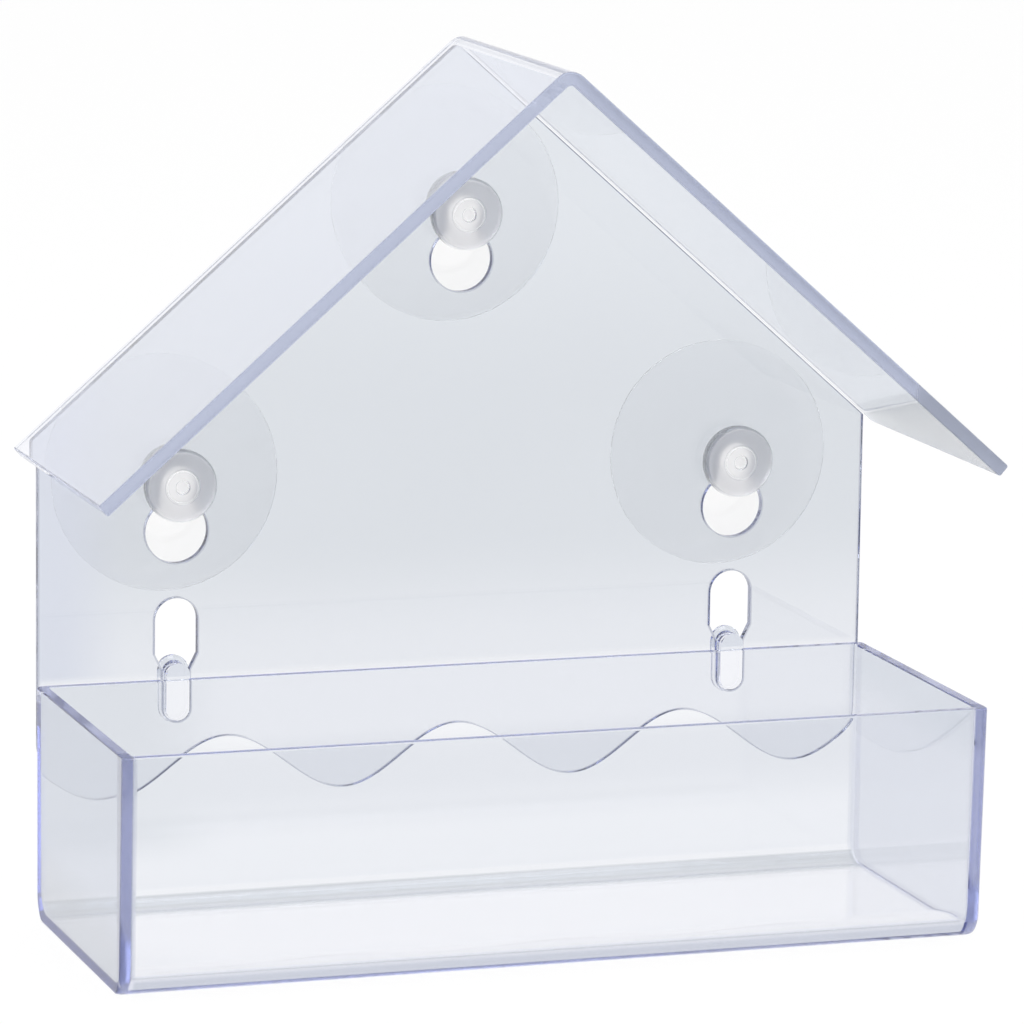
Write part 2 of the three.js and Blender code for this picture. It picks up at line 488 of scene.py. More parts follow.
def waved_sheet_tree() -> bpy.types.NodeTree:
    """Fills loops of edges into a sheet, with the marked points moved onto a wave.

    Returns:
        The tree. Its loops lie on X and Y, and its sheet stands on X and Z.
    """
    bench, given, result = node_group(
        "GeometryNodeTree",
        "Waved sheet",
        {
            "Geometry": (Socket.GEOMETRY,),
            "Hem Drop": (Socket.NUMBER,),
            "Hem Depth": (Socket.NUMBER,),
            "Hem Pitch": (Socket.NUMBER,),
            "Thickness": (Socket.NUMBER,),
            "Back": (Socket.NUMBER,),
            "Finish": (Socket.MATERIAL,),
        },
        ("Geometry", Socket.GEOMETRY),
    )
    place = bench.split(bench.out("GeometryNodeInputPosition"))
    turn = bench.maths("MULTIPLY", place["X"], 2 * math.pi)
    turn = bench.maths("DIVIDE", turn, given["Hem Pitch"])
    swing = bench.maths("MULTIPLY", bench.maths("COSINE", turn), given["Hem Depth"])
    height = bench.maths("SUBTRACT", bench.maths("MULTIPLY", swing, 0.5), given["Hem Drop"])
    hem = bench.add("GeometryNodeInputNamedAttribute", {"Name": "hem"}, data_type="BOOLEAN")
    waved = {
        "Geometry": given["Geometry"],
        "Selection": hem.outputs["Attribute"],
        "Position": bench.combined(X=place["X"], Y=height),
    }
    wave = bench.out("GeometryNodeSetPosition", waved)
    curve = bench.out("GeometryNodeMeshToCurve", {"Mesh": wave})
    sheet = bench.out("GeometryNodeFillCurve", {"Curve": curve}, mode="NGONS")
    thick = {"Mesh": sheet, "Offset": bench.combined(Z=given["Thickness"]), "Individual": False}
    raised = bench.out("GeometryNodeExtrudeMesh", thick)
    both = bench.add("GeometryNodeJoinGeometry", {0: raised})
    bench.feed(both.inputs[0], bench.out("GeometryNodeFlipFaces", {"Mesh": sheet}))
    weld = {"Geometry": both.outputs[0], "Distance": WELD}
    upright = {
        "Geometry": bench.out("GeometryNodeMergeByDistance", weld),
        "Rotation": (math.pi / 2, 0, 0),
        "Translation": bench.combined(Y=given["Back"]),
    }
    standing = bench.out("GeometryNodeTransform", upright)
    bench.feed(result, bench.dressed(standing, given["Finish"]))
    return bench.tree


def turned_tree() -> bpy.types.NodeTree:
    """Turns a profile, drawn as radius on X and depth on Y, all the way round an axis along Y.

    Returns:
        The tree. It places the axis at the given point.
    """
    bench, given, result = node_group(
        "GeometryNodeTree",
        "Turned moulding",
        {
            "Geometry": (Socket.GEOMETRY,),
            "Steps Around": (Socket.COUNT,),
            "Axis Place": (Socket.VECTOR,),
            "Finish": (Socket.MATERIAL,),
        },
        ("Geometry", Socket.GEOMETRY),
    )
    profile, steps = given["Geometry"], given["Steps Around"]
    size = bench.add("GeometryNodeAttributeDomainSize", {"Geometry": profile}, component="MESH")
    rows = size.outputs["Point Count"]
    columns = bench.maths("ADD", steps, 1)
    index = bench.out("GeometryNodeInputIndex")
    column = bench.maths("FLOOR", bench.maths("DIVIDE", bench.maths("ADD", index, 0.5), rows))
    row = {
        "Geometry": profile,
        "Value": bench.out("GeometryNodeInputPosition"),
        "Index": bench.maths("MODULO", index, rows),
    }
    drawn = bench.split(bench.out("GeometryNodeSampleIndex", row, data_type="FLOAT_VECTOR"))
    angle = bench.maths("MULTIPLY", bench.maths("DIVIDE", column, steps), 2 * math.pi)
    across = bench.maths("MULTIPLY", drawn["X"], bench.maths("COSINE", angle))
    upward = bench.maths("MULTIPLY", drawn["X"], bench.maths("SINE", angle))
    around = {
        "Geometry": bench.out("GeometryNodeMeshGrid", {"Vertices X": columns, "Vertices Y": rows}),
        "Position": bench.combined(X=across, Y=drawn["Y"], Z=upward),
        "Offset": given["Axis Place"],
    }
    weld = {"Geometry": bench.out("GeometryNodeSetPosition", around), "Distance": POLE_WELD}
    closed = bench.out("GeometryNodeMergeByDistance", weld)
    bench.feed(result, bench.dressed(closed, given["Finish"]))
    return bench.tree


# Effects that several finishes share


class Effects:
    """Shader node groups, each built once and placed in several materials."""

    def __init__(self) -> None:
        """Builds the groups."""
        self.dust = self._dust()
        self.ripple = self._ripple()
        self.cloud = self._cloud()

    def _dust(self) -> bpy.types.NodeTree:
        """Fine dust and wiped smears, as a roughness.

        Returns:
            The group.
        """
        bench, given, result = node_group(
            "ShaderNodeTree",
            "Dust and smears",
            {
                "Vector": (Socket.VECTOR,),
                "Clean": (Socket.NUMBER, 0.03),
                "Dusty": (Socket.NUMBER, 0.12),
                "Scale": (Socket.NUMBER, 40.0),
            },
            ("Roughness", Socket.NUMBER),
        )
        noise = {"Vector": given["Vector"], "Scale": given["Scale"], "Detail": 4, "Roughness": 0.6}
        spread = {
            "Value": bench.out("ShaderNodeTexNoise", noise, label="Smears"),
            "From Min": 0.4,
            "From Max": 0.75,
            "To Min": given["Clean"],
            "To Max": given["Dusty"],
        }
        bench.feed(result, bench.out("ShaderNodeMapRange", spread))
        return bench.tree

    def _ripple(self) -> bpy.types.NodeTree:
        """The slow waviness of a moulded or pressed face, as a height.

        Returns:
            The group.
        """
        bench, given, result = node_group(
            "ShaderNodeTree",
            "Moulding ripple",
            {
                "Vector": (Socket.VECTOR,),
                "Scale": (Socket.NUMBER, 14.0),
                "Depth": (Socket.NUMBER, 1.0),
            },
            ("Height", Socket.NUMBER),
        )
        noise = {"Vector": given["Vector"], "Scale": given["Scale"], "Detail": 1}
        wave = bench.out("ShaderNodeTexNoise", noise, label="Ripple")
        bench.feed(result, bench.maths("MULTIPLY", wave, given["Depth"]))
        return bench.tree

    def _cloud(self) -> bpy.types.NodeTree:
        """Soft cloudy change from one tint to another.

        Returns:
            The group.
        """
        bench, given, result = node_group(
            "ShaderNodeTree",
            "Cloudy tint",
            {
                "Vector": (Socket.VECTOR,),
                "Tint": (Socket.COLOUR, (0.8, 0.8, 0.8, 1)),
                "Cloud Tint": (Socket.COLOUR, (0.8, 0.8, 0.8, 1)),
                "Scale": (Socket.NUMBER, 18.0),
            },
            ("Color", Socket.COLOUR),
        )
        noise = {"Vector": given["Vector"], "Scale": given["Scale"], "Detail": 3}
        cloud = bench.out("ShaderNodeTexNoise", noise, label="Cloud")
        spread = {"Value": cloud, "From Min": 0.35, "From Max": 0.65}
        share = bench.out("ShaderNodeMapRange", spread)
        bench.feed(result, bench.mixed(share, given["Tint"], given["Cloud Tint"]))
        return bench.tree


# Finishes


def opaque(colour: Colour) -> tuple[float, float, float, float]:
    """A colour with full alpha."""
    return (*colour, 1.0)


def blank_material(name: str) -> tuple[bpy.types.Material, NodeBench]:
    """A material without nodes.

    Args:
        name: the material's name.

    Returns:
        The material and the bench to build its nodes on.
    """
    made = bpy.data.materials.new(name)
    made.use_nodes = True
    made.node_tree.nodes.clear()
    return made, NodeBench(made.node_tree)


@dataclass(frozen=True)
class Stretch:
    """A stretch of an Object coordinate, or of a surface's direction, over which something comes in.

    Attributes:
        axis: X, Y or Z.
        start: where it starts to show.
        end: where it shows fully.
        mirrored: whether the value's size counts, without its sign.
        facing: whether the surface's direction counts, instead of its place.
        lean: how much of Y is added to the value, for a stretch that lies askew.
    """

    axis: str
    start: float
    end: float
    mirrored: bool = False
    facing: bool = False
    lean: float = 0.0

    def share(self, bench: NodeBench, place: Any, direction: Any) -> bpy.types.NodeSocket:
        """How far the stretch shows.

        Args:
            bench: the material's bench.
            place: the Object coordinates, by axis.
            direction: the surface's direction, by axis.

        Returns:
            An output from 0 to 1.
        """
        value = (direction if self.facing else place)[self.axis]
        if self.lean:
            value = bench.maths("MULTIPLY_ADD", place["Y"], self.lean, value)
        if self.mirrored:
            value = bench.maths("ABSOLUTE", value)
        ramp = {"Value": value, "From Min": self.start, "From Max": self.end}
        return bench.out("ShaderNodeMapRange", ramp, interpolation_type="SMOOTHSTEP")


@dataclass(frozen=True)
class Band:
    """A tint that takes over where all its stretches show.

    Attributes:
        tint: the tint.
        where: the stretches.
        frost: roughness added there.
    """

    tint: Colour
    where: tuple[Stretch, ...]
    frost: float = 0.0


@dataclass(frozen=True)
class ClearFinish:
    """A clear plastic, tinted in the glass and in depth.

    Attributes:
        name: the material's name.
        tint: its tint where no band takes over.
        bands: stretches with a tint of their own, the later over the earlier.
        depth_colour: what colour a long way through it turns light to.
        depth_density: how quickly, per metre.
        cloud: how much of the tint is left in its cloudier parts.
        ior: index of refraction.
        clean: roughness where it is clean.
        dusty: roughness where it is smeared.
        ripple: how strongly its faces wave.
        shade: how much light it lets through to what stands behind.
        clear: how much of the light that meets a face goes on through, the rest being milky.
    """

    name: str
    tint: Colour
    bands: tuple[Band, ...]
    depth_colour: Colour
    depth_density: float
    cloud: float = 0.99
    ior: float = 1.49
    clean: float = 0.0
    dusty: float = 0.03
    ripple: float = 0.12
    shade: float = 0.95
    clear: float = 1.0

    def material(self, effects: Effects) -> bpy.types.Material:
        """Builds the material.

        Args:
            effects: the shared groups.

        Returns:
            The material.
        """
        made, bench = blank_material(self.name)
        shade = {"Color": opaque((self.shade,) * 3)}
        either = {
            0: bench.add("ShaderNodeLightPath").outputs["Is Shadow Ray"],
            1: self._plastic(bench, effects),
            2: bench.out("ShaderNodeBsdfTransparent", shade, label="Light to what stands behind"),
        }
        inside = {"Color": opaque(self.depth_colour), "Density": self.depth_density}
        ends = {
            "Surface": bench.out("ShaderNodeMixShader", either),
            "Volume": bench.out("ShaderNodeVolumeAbsorption", inside, label="Depth"),
        }
        bench.add("ShaderNodeOutputMaterial", ends)
        return made

    def _plastic(self, bench: NodeBench, effects: Effects) -> bpy.types.NodeSocket:
        """The plastic's surface with its tints, dust and ripple.

        Args:
            bench: the material's bench.
            effects: the shared groups.

        Returns:
            The shader output.
        """
        space = bench.add("ShaderNodeTexCoord").outputs["Object"]
        place = bench.split(space, "Place")
        direction = bench.split(bench.add("ShaderNodeTexCoord").outputs["Normal"], "Facing")
        tints = {
            "Vector": space,
            "Tint": opaque(self.tint),
            "Cloud Tint": opaque(tuple(value * self.cloud for value in self.tint)),
        }
        colour = bench.out("ShaderNodeGroup", tints, node_tree=effects.cloud)
        dust = {"Vector": space, "Clean": self.clean, "Dusty": self.dusty}
        rough = bench.out("ShaderNodeGroup", dust, node_tree=effects.dust)
        for band in self.bands:
            share, *others = [stretch.share(bench, place, direction) for stretch in band.where]
            for other in others:
                share = bench.maths("MULTIPLY", share, other)
            colour = bench.mixed(share, colour, opaque(band.tint))
            if band.frost > 0:
                rough = bench.maths("MULTIPLY_ADD", share, band.frost, rough)
        bump = {
            "Height": bench.out("ShaderNodeGroup", {"Vector": space}, node_tree=effects.ripple),
            "Strength": self.ripple,
            "Distance": RIPPLE_HEIGHT,
        }
        surface = {
            "Base Color": colour,
            "Roughness": rough,
            "Normal": bench.out("ShaderNodeBump", bump),
            "Metallic": 0.0,
            "Transmission Weight": self.clear,
            "IOR": self.ior,
        }
        return bench.out("ShaderNodeBsdfPrincipled", surface, label="Plastic")

# Where the plate's tints lie

PLATE_TOP = Stretch("Z", 0.010, 0.050)
PLATE_LOW = Stretch("Z", -0.010, -0.032)
PLATE_LEFT = Stretch("X", -0.058, -0.072)
BEHIND_TRAY = Stretch("Z", -0.0325, -0.0345)
CUT_EDGES = Stretch("Y", 0.98, 0.92, mirrored=True, facing=True)

PLATE_FINISH = ClearFinish(
    name="clear_plate",
    tint=(0.72, 0.75, 0.79),
    bands=(
        Band((0.78, 0.81, 0.85), (PLATE_TOP,)),
        Band((0.80, 0.82, 0.86), (PLATE_LOW,)),
        Band((0.70, 0.73, 0.81), (PLATE_LEFT,)),
        Band((0.90, 0.91, 0.93), (BEHIND_TRAY,)),
        Band((0.42, 0.44, 0.52), (CUT_EDGES,)),
    ),
    depth_colour=(0.30, 0.35, 0.60),
    depth_density=16.0,
    cloud=0.985,
    shade=0.93,
)

# Where the roof's tints lie

# Painted shade: the right slope is tinted darker than the left, in place of the light that the left
# slope reflects
RIGHT_SLOPE_PAINTED_SHADE = Stretch("X", -0.002, 0.004)
RIGHT_EAVE = Stretch("X", 0.0768, 0.0776, lean=-0.2313)
RIGHT_HALF = Stretch("X", 0.0, 0.004)
FOLD_FRONT = Stretch("Y", -0.0647, -0.0650)
FOLD_BACK = Stretch("Y", -0.0078, -0.0075)

ROOF_FINISH = ClearFinish(
    name="clear_roof",
    tint=(0.94, 0.95, 1.0),
    bands=(
        # Painted shade on the right slope
        Band((0.88, 0.90, 0.94), (RIGHT_SLOPE_PAINTED_SHADE,)),
        Band((0.75, 0.78, 0.82), (RIGHT_EAVE,), frost=0.25),
        Band((0.57, 0.615, 0.78), (FOLD_FRONT,), frost=0.15),
        Band((0.47, 0.51, 0.66), (FOLD_FRONT, RIGHT_HALF)),
        Band((0.62, 0.66, 0.74), (FOLD_BACK,)),
    ),
    depth_colour=(0.30, 0.35, 0.60),
    depth_density=4.0,
)

# Where the tray's tints lie

BACK_WALL = Stretch("Y", -0.0125, -0.0118)
BACK_WALL_LEFT = Stretch("X", -0.040, -0.058)
FRONT_WALL = Stretch("Y", -0.0590, -0.0620)
UNDER_THE_RIM = Stretch("Z", -0.0435, -0.0495)
LOW_WALL = Stretch("Z", -0.053, -0.064)
ABOVE_THE_BEND = Stretch("Z", -0.067, -0.060)
INSIDE_BACK = (Stretch("Z", -0.0733, -0.0730), Stretch("Y", -0.0107, -0.0111))
# Painted highlight: an untinted line at the top of the inner back bend, where the bend catches light
REAR_BEND_PAINTED_HIGHLIGHT = (*INSIDE_BACK, Stretch("Y", -0.0160, -0.0150), Stretch("Z", -0.0698, -0.0702))
# Painted shade: a dark grey band in the lower part of the inner back bend
REAR_BEND_PAINTED_SHADE = (*INSIDE_BACK, Stretch("Y", -0.0190, -0.0165), Stretch("Z", -0.0708, -0.0712))
LEFT_END = Stretch("X", -0.0730, -0.0733)
LEFT_END_LOW = Stretch("Z", -0.058, -0.068)
RIGHT_END = Stretch("X", 0.0730, 0.0733)
RIGHT_END_HIGH = Stretch("Z", -0.046, -0.037)
HOOKS = Stretch("Y", -0.0094, -0.0090)
FRONT_BEND = (Stretch("Z", -0.0706, -0.0720), Stretch("Y", -0.0630, -0.0638))
FRONT_FOOT = (Stretch("Z", -0.0736, -0.0741), Stretch("Y", -0.060, -0.061))
END_FEET = (Stretch("Z", -0.0738, -0.0742), Stretch("X", 0.0737, 0.0741, mirrored=True))
BOTH_ENDS = Stretch("X", 0.0730, 0.0733, mirrored=True)
FRONT_CORNERS = (BOTH_ENDS, Stretch("Y", -0.0636, -0.0644))
RIM = Stretch("Z", -0.0341, -0.0339)
RIM_ALONG_WALLS = Stretch("X", 0.0737, 0.0733, mirrored=True)
RIM_ALONG_ENDS = Stretch("X", 0.0733, 0.0737, mirrored=True)

TRAY_FINISH = ClearFinish(
    name="clear_tray",
    tint=(0.99, 0.99, 1.0),
    bands=(
        Band((0.92, 0.93, 0.95), (BACK_WALL,)),
        Band((0.84, 0.855, 0.88), (BACK_WALL, UNDER_THE_RIM)),
        Band((0.935, 0.945, 0.96), (BACK_WALL, LOW_WALL)),
        Band((0.83, 0.85, 0.87), (BACK_WALL, BACK_WALL_LEFT, ABOVE_THE_BEND)),
        Band((0.935, 0.945, 0.96), (FRONT_WALL,)),
        Band((0.97, 0.975, 0.985), (FRONT_WALL, LOW_WALL)),
        # Painted highlight along the top of the inner back bend
        Band((1.0, 1.0, 1.0), REAR_BEND_PAINTED_HIGHLIGHT),
        # Painted shade in the inner back bend
        Band((0.50, 0.53, 0.56), REAR_BEND_PAINTED_SHADE),
        Band((0.70, 0.73, 0.79), (LEFT_END,)),
        Band((0.64, 0.66, 0.70), (LEFT_END, LEFT_END_LOW)),
        Band((0.78, 0.80, 0.85), (RIGHT_END,)),
        Band((0.71, 0.74, 0.79), (RIGHT_END, RIGHT_END_HIGH)),
        Band((1.0, 1.0, 1.0), (HOOKS,)),
        Band((0.45, 0.485, 0.55), FRONT_BEND),
        Band((0.90, 0.91, 0.98), FRONT_FOOT),
        Band((0.80, 0.80, 0.95), END_FEET),
        Band((0.74, 0.76, 0.84), FRONT_CORNERS, frost=0.2),
        Band((0.74, 0.77, 0.82), (RIM, RIM_ALONG_WALLS)),
        Band((0.90, 0.92, 0.98), (RIM, RIM_ALONG_ENDS), frost=0.2),
    ),
    depth_colour=(0.30, 0.35, 0.69),
    depth_density=15.0,
)

# Where the cups' tints lie

HEAD = Stretch("Y", -0.0090, -0.0096)
HEAD_FACES = Stretch("Y", 0.75, 0.95, mirrored=True, facing=True)
ROUND_EDGE = Stretch("Y", 0.90, 0.60, mirrored=True, facing=True)
OFF_THE_LIP = Stretch("Y", -0.0009, -0.0020)
# Painted highlight: rounded edges that face down lose their dark tint, for the bright crescent at
# the bottom of each disc
DOWNWARD_EDGE_PAINTED_HIGHLIGHT = Stretch("Z", -0.55, -0.75, facing=True)

VINYL_FINISH = ClearFinish(
    name="clear_vinyl",
    tint=(1.0, 1.0, 1.0),
    bands=(
        # Dark rounded edges stand for the vinyl's colour along long paths through the rim; the next
        # band keeps the downward-facing ones light, a painted highlight
        Band((0.50, 0.52, 0.55), (ROUND_EDGE, OFF_THE_LIP)),
        Band((1.0, 1.0, 1.0), (ROUND_EDGE, DOWNWARD_EDGE_PAINTED_HIGHLIGHT)),
        Band((0.88, 0.88, 0.90), (HEAD, HEAD_FACES), frost=0.60),
    ),
    depth_colour=(0.55, 0.58, 0.62),
    depth_density=4.0,
    ior=1.42,
    clean=0.08,
    dusty=0.14,
    ripple=0.2,
    shade=0.9,
    clear=0.95,
)

# Sub-assemblies


@dataclass
class BackPlate:
    """The house-shaped sheet with its waved hem, keyholes and hook slots."""

    width: float = 0.150
    hem_drop: float = 0.0495
    hem_depth: float = 0.0101
    hem_pitch: float = 0.0417
    hem_corner: float = 0.0038
    hem_steps: int = 210
    corner_steps: int = 8
    ridge_steps: int = 6
    roof_gap: float = ROOF_THICKNESS + CLEARANCE
    keyhole_radius: float = 0.0055
    keyhole_drop: float = 0.0083
    neck_slot_radius: float = 0.0032
    hook_lift: float = 0.0094
    hook_slot_radius: float = 0.00235
    window_radius: float = 0.00375
    edge_radius: float = 0.00032
    round_steps: int = 36

    def gable(self, x: float) -> float:
        """The height of the sheet's sloping edge at a distance from the middle."""
        slope = abs(x) * math.tan(ROOF_ANGLE)
        return RIDGE_RISE - self.roof_gap / math.cos(ROOF_ANGLE) - slope

    def wave(self, x: float) -> float:
        """The height of the waved hem at a distance from the middle."""
        swing = math.cos(2 * math.pi * x / self.hem_pitch)
        return -self.hem_drop + self.hem_depth / 2 * swing

    def outline(self) -> tuple[list[Flat], list[bool]]:
        """The sheet's outline, with the points of its hem still on a straight line.

        Returns:
            The points, and for each whether it belongs on the wave.
        """
        half = self.width / 2
        inner = half - self.hem_corner
        low = self.wave(half)
        right = [(half, low + self.hem_corner), (half, self.gable(half))]
        top = (0, self.gable(0) - RIDGE_RADIUS / math.cos(ROOF_ANGLE))
        start, end = math.pi / 2 - ROOF_ANGLE, math.pi / 2 + ROOF_ANGLE
        ridge = arc(top, RIDGE_RADIUS, start, end, self.ridge_steps)
        left = [(-half, self.gable(half)), (-half, low + self.hem_corner)]
        hem_start, hem_end = (-inner, self.wave(inner)), (inner, self.wave(inner))
        left_corner = bend(left[1], (-half, low), hem_start, self.corner_steps)
        right_corner = bend(hem_end, (half, low), right[0], self.corner_steps)[:-1]
        step = 2 * inner / self.hem_steps
        hem = [(-inner + step * count, 0.0) for count in range(1, self.hem_steps)]
        fixed = right + ridge + left + left_corner
        after = [hem_end] + right_corner
        marks = [False] * len(fixed) + [True] * len(hem) + [False] * len(after)
        return fixed + hem + after, marks

    def keyhole(self, x: float, z: float) -> list[Flat]:
        """The hole for one cup.

        Args:
            x: the cup's axis.
            z: its height.

        Returns:
            The outline's points in order.
        """
        rise = math.sqrt(self.keyhole_radius**2 - self.neck_slot_radius**2)
        mouth = math.atan2(rise, self.neck_slot_radius)
        centre = (x, z - self.keyhole_drop)
        start, end = math.pi - mouth, 2 * math.pi + mouth
        neck = arc((x, z), self.neck_slot_radius, 0, math.pi, self.round_steps // 2)
        return neck + arc(centre, self.keyhole_radius, start, end, self.round_steps)

    def hook_slot(self, x: float) -> list[Flat]:
        """The hole for one tray hook.

        Args:
            x: the hook's middle line.

        Returns:
            The outline's points in order.
        """
        steps = self.round_steps // 2
        window_low = self.hook_lift - HOOK_DROP
        taper = window_low - HOOK_HEAD_RADIUS
        window = arc((x, window_low + HOOK_LENGTH), self.window_radius, 0, math.pi, steps)
        foot = arc((x, -HOOK_DROP), self.hook_slot_radius, math.pi, 2 * math.pi, steps)
        left = [(x - self.window_radius, window_low), (x - self.hook_slot_radius, taper)]
        right = [(x + self.hook_slot_radius, taper), (x + self.window_radius, window_low)]
        return window + left + foot + right

    def build(self, tree: bpy.types.NodeTree, finish: bpy.types.Material) -> bpy.types.Object:
        """Builds the sheet.

        Args:
            tree: the waved sheet tree.
            finish: its material.

        Returns:
            The finished piece, riding on the house.
        """
        outline, marks = self.outline()
        holes = [self.keyhole(0, TOP_CUP)]
        for x in (-SIDE_CUP, SIDE_CUP):
            holes += [self.keyhole(x, 0), self.hook_slot(x)]
        blank = wire_object("house_sheet", [outline, *holes], closed=True)
        marks += [False] * (len(blank.data.vertices) - len(marks))
        blank.data.attributes.new("hem", "BOOLEAN", "POINT").data.foreach_set("value", marks)
        sizes = {
            "Hem Drop": self.hem_drop,
            "Hem Depth": self.hem_depth,
            "Hem Pitch": self.hem_pitch,
            "Thickness": SHEET_THICKNESS,
            "Back": SHEET_BACK,
            "Finish": finish,
        }
        sheet = finished(grown(blank, tree, sizes), self.edge_radius)
        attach(sheet, Body.HOUSE.value)
        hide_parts(Node.BACK_PLATE.value)
        return sheet


@dataclass
class Roof:
    """The sheet folded at the ridge over the house."""

    half_width: float = 0.0789
    front: float = -0.0654
    eave_radius: float = 0.0004
    edge_radius: float = 0.00028
    fold_steps: int = 16

    def outline(self) -> list[Flat]:
        """The folded sheet as seen from the front.

        Returns:
            The outline's points in order.
        """
        outer_z = RIDGE_RISE - self.half_width * math.tan(ROOF_ANGLE)
        inner_x = self.half_width - ROOF_THICKNESS * math.sin(ROOF_ANGLE)
        inner_z = outer_z - ROOF_THICKNESS * math.cos(ROOF_ANGLE)
        inner_ridge = RIDGE_RISE - ROOF_THICKNESS / math.cos(ROOF_ANGLE)
        corners = [
            (inner_x, inner_z, self.eave_radius),
            (self.half_width, outer_z, self.eave_radius),
            (0, RIDGE_RISE, RIDGE_RADIUS + ROOF_THICKNESS),
            (-self.half_width, outer_z, self.eave_radius),
            (-inner_x, inner_z, self.eave_radius),
            (0, inner_ridge, RIDGE_RADIUS),
        ]
        return softened(corners, self.fold_steps)

    def build(self, finish: bpy.types.Material) -> bpy.types.Object:
        """Builds the roof.

        Args:
            finish: its material.

        Returns:
            The finished piece, riding on the house.
        """
        outline = self.outline()
        rings = [[(x, y, z) for x, z in outline] for y in (self.front, SHEET_BACK)]
        sheet = skinned("roof_sheet", rings)
        sheet.data.materials.append(finish)
        sheet = finished(sheet, self.edge_radius)
        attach(sheet, Body.HOUSE.value)
        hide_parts(Node.ROOF.value)
        return sheet


@dataclass
class SeedTray:
    """The moulded open box with its two hooks."""

    width: float = 0.1510
    back: float = SHEET_FRONT - CLEARANCE
    depth: float = 0.0585
    rim: float = -0.03385
    height: float = 0.0407
    wall: float = 0.0018
    end_wall: float = 0.0020
    floor: float = 0.0018
    draft: float = 0.0015
    bend_radius: float = 0.0030
    inner_bend_radius: float = 0.0040
    end_edge_radius: float = 0.0008
    inner_end_edge_radius: float = 0.0002
    corner_radius: float = 0.0013
    inner_corner_radius: float = 0.0003
    rim_radius: float = 0.0003
    hook_neck_radius: float = 0.00205
    hook_head_thickness: float = 0.0015
    hook_head_edge: float = 0.0004
    corner_steps: int = 8
    bend_steps: int = 12
    rim_steps: int = 3
    hook_steps: int = 20

    def ring(self, z: float, end_inset: float, wall_inset: float, radius: float) -> list[Place]:
        """A level outline of the box.

        Args:
            z: its height.
            end_inset: how far it lies inside the outer faces of the ends.
            wall_inset: how far it lies inside the front and back.
            radius: the radius of its corners.

        Returns:
            The outline's points in order.
        """
        lean = self.draft / self.height * (self.rim - z)
        side = self.width / 2 - end_inset
        front = self.back - self.depth + lean + wall_inset
        back = self.back - wall_inset
        around = [(side, back), (-side, back), (-side, front), (side, front)]
        corners = [(x, y, radius) for x, y in around]
        return [(x, y, z) for x, y in softened(corners, self.corner_steps)]

    def rim_rounding(self) -> list[Flat]:
        """The steps round one edge of the rim, each as a drop and how far it leans in."""
        sizes = [(1 - math.sin(turn), 1 - math.cos(turn)) for turn in quarter(self.rim_steps)]
        return [(self.rim_radius * drop, self.rim_radius * inset) for drop, inset in sizes]

    def outside(self) -> list[list[Place]]:
        """The outlines up the outside of the box, to its rim.

        Returns:
            The outlines in order.
        """
        bottom = self.rim - self.height
        bend_radius = self.bend_radius + self.wall
        made = []
        for rise in rises(self.bend_steps, bend_radius, self.end_edge_radius):
            end_inset = drawn_in(self.end_edge_radius, rise)
            wall_inset = drawn_in(bend_radius, rise)
            made.append(self.ring(bottom + rise, end_inset, wall_inset, self.corner_radius))
        for drop, inset in self.rim_rounding():
            made.append(self.ring(self.rim - drop, inset, inset, self.corner_radius - inset))
        return made

    def inside(self) -> list[list[Place]]:
        """The outlines up the inside of the box, to its rim.

        Returns:
            The outlines in order.
        """
        low = self.rim - self.height + self.floor
        radius = self.inner_corner_radius
        made = []
        for rise in rises(self.bend_steps, self.inner_bend_radius, self.inner_end_edge_radius):
            end_inset = self.end_wall + drawn_in(self.inner_end_edge_radius, rise)
            wall_inset = self.wall + drawn_in(self.inner_bend_radius, rise)
            made.append(self.ring(low + rise, end_inset, wall_inset, radius))
        for drop, out in self.rim_rounding():
            z = self.rim - drop
            made.append(self.ring(z, self.end_wall - out, self.wall - out, radius))
        return made

    def hook(self, x: float) -> bpy.types.Object:
        """One hook, a neck with a wider head behind it.

        Args:
            x: its middle line.

        Returns:
            The hook as a closed mesh object, its foot inside the back wall.
        """
        head_front = SHEET_BACK + CLEARANCE
        head_back = head_front + self.hook_head_thickness
        edge = self.hook_head_edge
        sections = [
            (self.back - self.wall / 2, self.hook_neck_radius),
            (head_front, self.hook_neck_radius),
            (head_front, HOOK_HEAD_RADIUS - edge),
            (head_front + edge, HOOK_HEAD_RADIUS),
            (head_back - edge, HOOK_HEAD_RADIUS),
            (head_back, HOOK_HEAD_RADIUS - edge),
        ]
        rings = []
        for y, radius in sections:
            outline = stadium(x, -HOOK_DROP, HOOK_LENGTH - HOOK_DROP, radius, self.hook_steps)
            rings.append([(px, y, pz) for px, pz in outline])
        return skinned("tray_hook", rings)

    def build(self, finish: bpy.types.Material) -> bpy.types.Object:
        """Builds the tray.

        Args:
            finish: its material.

        Returns:
            The finished piece, riding on the tray's body.
        """
        tray = skinned("seed_tray", self.outside() + self.inside()[::-1])
        hooks = [self.hook(x) for x in (-SIDE_CUP, SIDE_CUP)]
        for hook in hooks:
            join = tray.modifiers.new("Hook", "BOOLEAN")
            join.operation = "UNION"
            join.solver = "EXACT"
            join.object = hook
        tray = applied(tray)
        for hook in hooks:
            bpy.data.objects.remove(hook)
        tray.data.materials.clear()
        tray.data.materials.append(finish)
        tray = finished(tray)
        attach(tray, Body.TRAY.value)
        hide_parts(Node.TRAY.value)
        return tray


